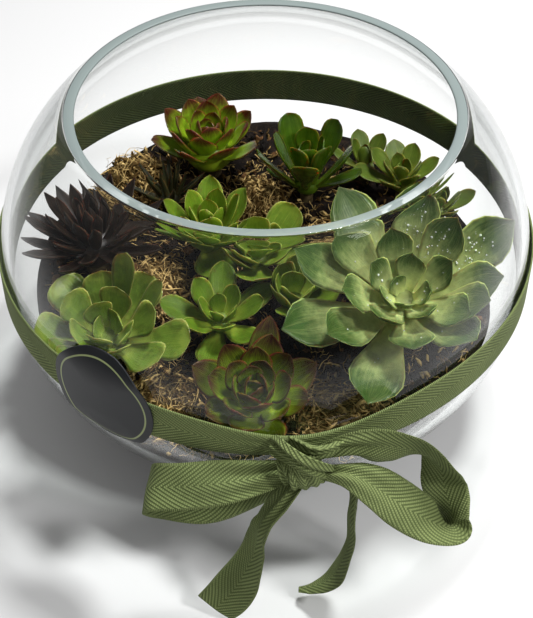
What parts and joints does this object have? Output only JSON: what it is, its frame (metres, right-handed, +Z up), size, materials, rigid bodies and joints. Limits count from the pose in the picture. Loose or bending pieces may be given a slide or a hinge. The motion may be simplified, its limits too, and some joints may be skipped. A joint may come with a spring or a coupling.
{
  "type": "succulent bowl",
  "caption": "Round clear glass bowl planted with mixed succulent rosettes in soil and moss, with a cotton tape ribbon tied round its middle in a bow and a bare round label",
  "frame": {"origin": "middle of the glass bowl's flat base, on the table", "axes": "+Z up through the mouth, -Y towards the bow at the front, +X to the right seen from the front"},
  "size_m": [0.2522, 0.2816, 0.1724],
  "materials": {
    "glass": "polished clear",
    "gravel": "matt",
    "soil": "crumbly matt",
    "echeveria": "waxy satin leaf",
    "houseleek": "satin leaf",
    "soft_green_leaf": "satin leaf",
    "deep_green_leaf": "glossy leaf",
    "olive_leaf": "satin leaf",
    "dark_leaf": "satin leaf",
    "moss": "dry strands",
    "ribbon": "woven twill tape",
    "label": "smooth matt"
  },
  "bodies": {
    "root": {"glass_bowl": "glass", "gravel": "gravel", "soil": "soil", "echeveria_large": "echeveria", "houseleek_front": "houseleek", "houseleek_back": "houseleek", "spoon_leaf_left": "soft_green_leaf", "dark_rosette_left": "dark_leaf", "fan_rosette_middle": "soft_green_leaf", "small_rosette_left": "soft_green_leaf", "round_leaf_middle": "soft_green_leaf", "round_leaf_right": "soft_green_leaf", "dark_green_back": "deep_green_leaf", "olive_rosette_right": "olive_leaf", "olive_rosette_wall": "olive_leaf", "olive_rosette_back": "olive_leaf", "spiky_tuft": "deep_green_leaf", "moss_back_left": "moss", "moss_back_middle": "moss", "moss_front_left": "moss", "moss_front_right": "moss", "moss_middle_left": "moss", "moss_middle_right": "moss", "ribbon_band": "ribbon", "bow_knot": "ribbon", "bow_loop_left": "ribbon", "bow_loop_right": "ribbon", "bow_tail_left": "ribbon", "bow_tail_right": "ribbon", "label": "label"}
  },
  "joints": []
}
